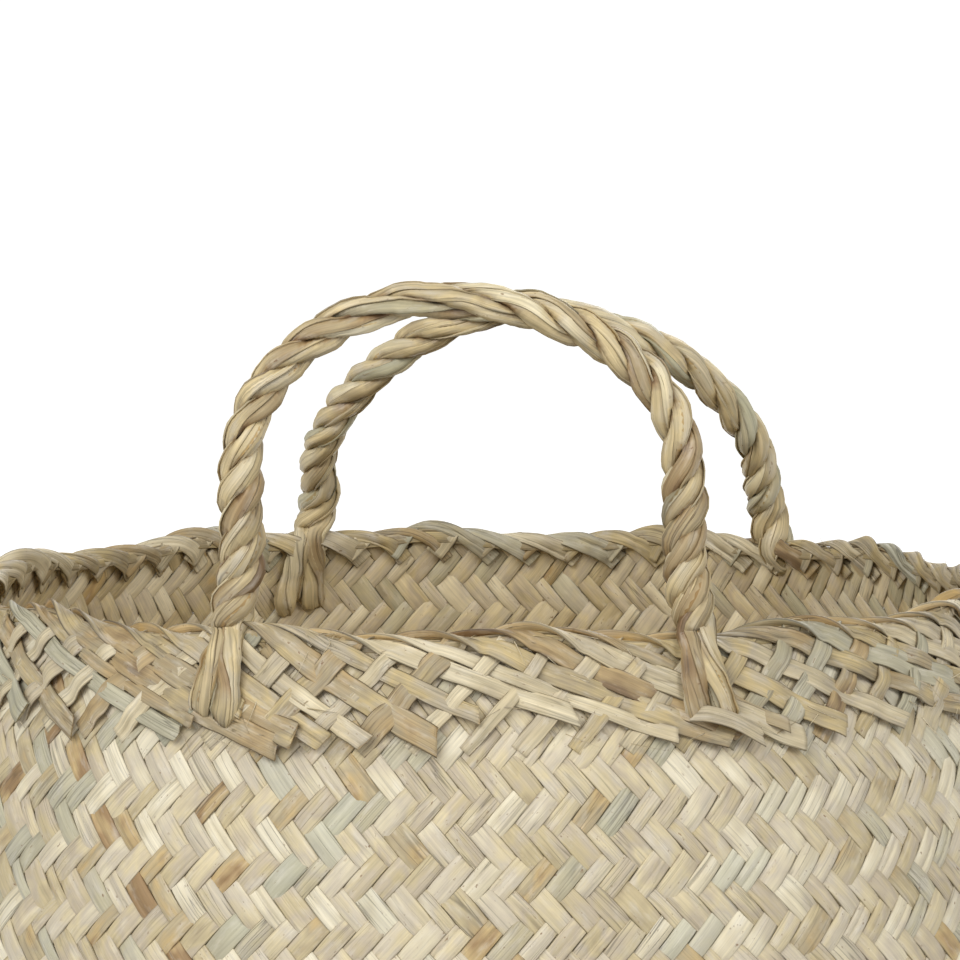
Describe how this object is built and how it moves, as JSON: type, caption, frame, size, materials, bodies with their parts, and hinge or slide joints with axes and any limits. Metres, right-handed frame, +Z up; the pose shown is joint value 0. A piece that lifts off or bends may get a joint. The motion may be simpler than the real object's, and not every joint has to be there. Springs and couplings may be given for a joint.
{
  "type": "seagrass storage basket",
  "caption": "Round bellied storage basket of flat seagrass straws in an oblique twill, with a folded border and twisted rope handles that tip in and out on the rim.",
  "frame": {"origin": "centre of the base's underside, on the floor", "axes": "+Z up through the mouth, front handle towards -Y, rear handle towards +Y"},
  "size_m": [0.416, 0.416, 0.4423],
  "materials": {
    "wall_straw": "matte",
    "border_straw": "matte",
    "rope_straw": "matte",
    "rope_end_straw": "matte"
  },
  "bodies": {
    "basket": {"side_wall": "wall_straw", "base_mat": "wall_straw", "rim_border": "border_straw", "border_straw_ends": "border_straw", "front_left_foot": "rope_end_straw", "front_right_foot": "rope_end_straw", "rear_left_foot": "rope_end_straw", "rear_right_foot": "rope_end_straw", "front_left_tail": "rope_end_straw", "front_right_tail": "rope_end_straw", "rear_left_tail": "rope_end_straw", "rear_right_tail": "rope_end_straw", "front_right_lash": "border_straw"},
    "front_handle": {"front_strand_1": "rope_straw", "front_strand_2": "rope_straw", "front_strand_3": "rope_straw"},
    "rear_handle": {"rear_strand_1": "rope_straw", "rear_strand_2": "rope_straw", "rear_strand_3": "rope_straw"}
  },
  "joints": [
    {"name": "front_handle_tip", "type": "hinge", "parent": "basket", "child": "front_handle", "pos_m": [0, -0.15869, 0.342], "axis": [-1, 0, 0], "range_deg": [-95, 92]},
    {"name": "rear_handle_tip", "type": "hinge", "parent": "basket", "child": "rear_handle", "pos_m": [0.01734, 0.15223, 0.342], "axis": [0.9936, -0.1132, 0], "range_deg": [-132, 55]}
  ]
}
